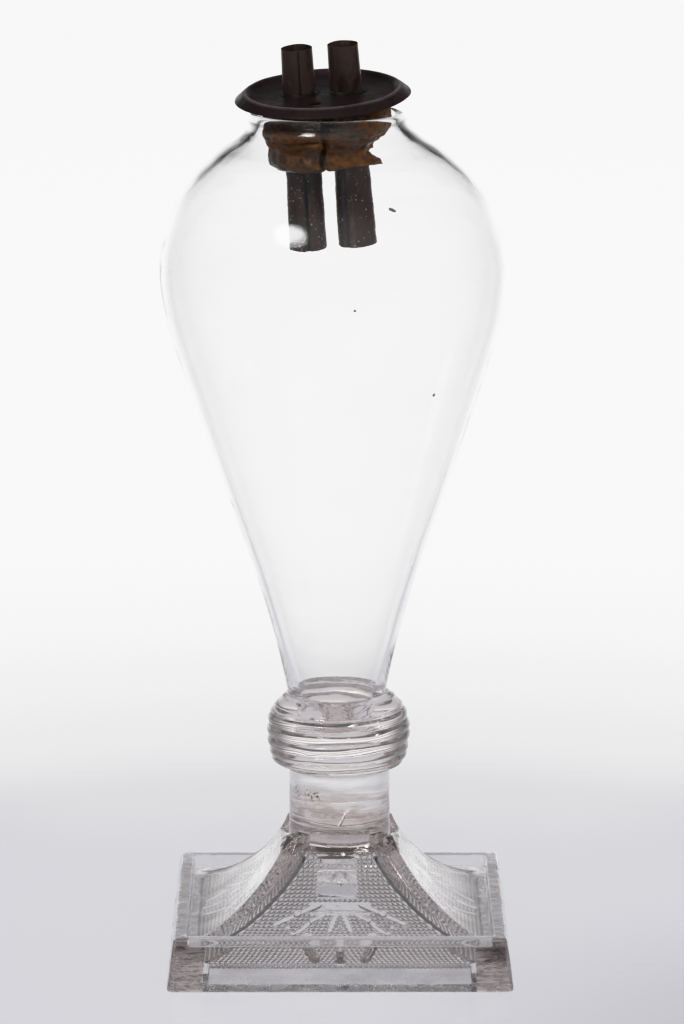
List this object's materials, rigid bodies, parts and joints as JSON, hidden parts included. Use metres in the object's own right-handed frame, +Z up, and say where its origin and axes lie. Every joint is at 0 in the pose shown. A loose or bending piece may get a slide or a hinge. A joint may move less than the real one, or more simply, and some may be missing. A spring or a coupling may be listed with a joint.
{
  "type": "whale oil lamp",
  "caption": "Glass oil lamp: a blown pear-shaped font and threaded knop on a pressed square base, with a tin disc, cork and wick tubes that drop into the mouth.",
  "frame": {"origin": "on the table, under the middle of the square base", "axes": "+Z up, +X to the right as the lamp faces its viewer, +Y away from the viewer"},
  "size_m": [0.0889, 0.088, 0.2337],
  "materials": {
    "pressed_glass": "fire-polished pressed glass, grey with a faint brown-lilac tint",
    "blown_glass": "clear blown glass",
    "cork": "old, dark, cracked cork",
    "tin": "darkened tinplate, satin",
    "solder": "dull grey solder",
    "wick": "charred cotton"
  },
  "bodies": {
    "lamp": {"pressed_base": "pressed_glass", "joining_wafer": "blown_glass", "stem": "blown_glass", "knop_core": "blown_glass", "knop_thread": "blown_glass", "font": "blown_glass"},
    "burner": {"cork": "cork", "burner_disc": "tin", "wick_tube_left": "tin", "wick_tube_right": "tin", "tube_solder_left": "solder", "tube_solder_right": "solder"},
    "wick_left": {"wick_left": "wick"},
    "wick_right": {"wick_right": "wick"}
  },
  "joints": [
    {"name": "burner_lift", "type": "slide", "parent": "lamp", "child": "burner", "axis": [-0.0558, -0.1191, 0.9913], "range_m": [0, 0.045]},
    {"name": "wick_left_slide", "type": "slide", "parent": "burner", "child": "wick_left", "axis": [-0.0558, -0.1191, 0.9913], "range_m": [-0.006, 0.007]},
    {"name": "wick_right_slide", "type": "slide", "parent": "burner", "child": "wick_right", "axis": [-0.075, -0.1189, 0.9901], "range_m": [-0.006, 0.007]}
  ]
}
